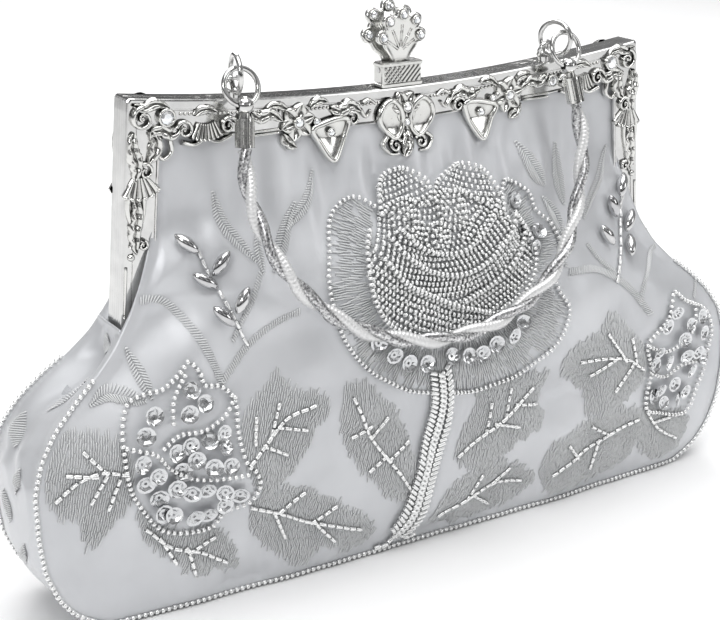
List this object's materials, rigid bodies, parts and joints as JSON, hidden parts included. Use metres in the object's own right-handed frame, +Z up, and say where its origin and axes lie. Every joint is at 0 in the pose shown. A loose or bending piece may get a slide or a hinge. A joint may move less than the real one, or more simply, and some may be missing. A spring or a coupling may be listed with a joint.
{
  "type": "evening bag",
  "caption": "Small framed evening bag with a satin pouch, beaded rose embroidery, hinged two-part metal frame, fan clasp and a short rope handle.",
  "frame": {"origin": "middle of the base, on the surface that the bag stands on", "axes": "+X along the bag's length, to the right seen from the front; +Y from the front to the rear; +Z up"},
  "size_m": [0.2772, 0.0668, 0.1827],
  "materials": {
    "satin": "silver-grey polyester satin",
    "lining": "plain woven grey lining",
    "board": "grey-brown stiffener board",
    "thread": "grey rayon embroidery thread in satin stitch",
    "glass_beads": "silver-lined clear glass seed and bugle beads",
    "sequins": "cupped silver sequins",
    "metal_beads": "silver-plated oval beads",
    "polished_metal": "bright silver plating",
    "cast_metal": "cast zinc, silver plated, darker in the recesses",
    "rhinestone": "clear faceted rhinestones with foil backs",
    "spring_steel": "plain steel",
    "rope": "padded rope wound with silver lurex and bugle beads"
  },
  "bodies": {
    "pouch": {"front_panel": "satin", "rear_panel": "satin", "left_gusset": "satin", "right_gusset": "satin", "base_panel": "satin", "base_board": "board", "lining_tub": "lining", "inner_pocket": "lining", "front_piping": "glass_beads", "rear_piping": "glass_beads", "rose_petals": "thread", "rose_beads": "glass_beads", "stem_beads": "glass_beads", "leaf_embroidery": "thread", "vine_embroidery": "thread", "left_bud_sequins": "sequins", "right_bud_sequins": "sequins", "sprig_beads": "metal_beads", "rear_petals": "thread", "rear_rose_beads": "glass_beads", "rear_leaf_embroidery": "thread", "rear_bud_sequins": "sequins"},
    "front_half": {"front_lining": "lining", "front_frame_channel": "polished_metal", "front_filigree": "cast_metal", "front_frame_stones": "rhinestone", "front_retainer": "spring_steel", "left_hinge_rivet": "polished_metal", "right_hinge_rivet": "polished_metal", "clasp_collar": "polished_metal", "collar_rivets": "spring_steel", "rear_fan": "cast_metal", "rear_fan_stones": "rhinestone", "lever_pin": "polished_metal", "lever_spring": "spring_steel", "left_eyelet": "polished_metal", "right_eyelet": "polished_metal"},
    "rear_half": {"rear_lining": "lining", "rear_frame_channel": "polished_metal", "rear_filigree": "cast_metal", "rear_frame_stones": "rhinestone", "rear_retainer": "spring_steel", "catch_tongue": "polished_metal"},
    "clasp_lever": {"front_fan_lever": "cast_metal", "front_fan_stones": "rhinestone"},
    "left_link": {"left_link_ring": "polished_metal"},
    "right_link": {"right_link_ring": "polished_metal"},
    "handle": {"left_handle_ring": "polished_metal", "right_handle_ring": "polished_metal", "left_ball": "polished_metal", "right_ball": "polished_metal", "left_cap": "polished_metal", "right_cap": "polished_metal", "handle_rope": "rope"}
  },
  "joints": [
    {"name": "front_open", "type": "hinge", "parent": "pouch", "child": "front_half", "pos_m": [0, 0, 0.086], "axis": [1, 0, 0], "range_deg": [0, 35], "deforming": ["front_panel", "rose_petals", "rose_beads", "vine_embroidery", "sprig_beads"]},
    {"name": "rear_open", "type": "hinge", "parent": "pouch", "child": "rear_half", "pos_m": [0, 0, 0.086], "axis": [-1, 0, 0], "range_deg": [0, 35], "deforming": ["rear_panel", "rear_petals", "rear_rose_beads"]},
    {"name": "clasp_press", "type": "hinge", "parent": "front_half", "child": "clasp_lever", "pos_m": [-0.0015, -0.0026, 0.1612], "axis": [-1, 0, 0], "range_deg": [0, 8], "stiffness_Nm_per_rad": 0.05, "springref_deg": -5.73},
    {"name": "left_link_swing", "type": "hinge", "parent": "front_half", "child": "left_link", "pos_m": [-0.0613, -0.0023, 0.162], "axis": [-1, 0, 0], "range_deg": [0, 35]},
    {"name": "right_link_swing", "type": "hinge", "parent": "front_half", "child": "right_link", "pos_m": [0.0576, -0.0023, 0.162], "axis": [-1, 0, 0], "range_deg": [0, 35]},
    {"name": "handle_swing", "type": "hinge", "parent": "left_link", "child": "handle", "pos_m": [-0.0626, -0.00845, 0.16815], "axis": [-1, 0, 0], "range_deg": [0, 190]}
  ],
  "couplings": [
    {"joint": "rear_open", "follows": "front_open", "ratio": 1},
    {"joint": "left_link_swing", "follows": "front_open", "ratio": 1},
    {"joint": "right_link_swing", "follows": "front_open", "ratio": 1}
  ]
}
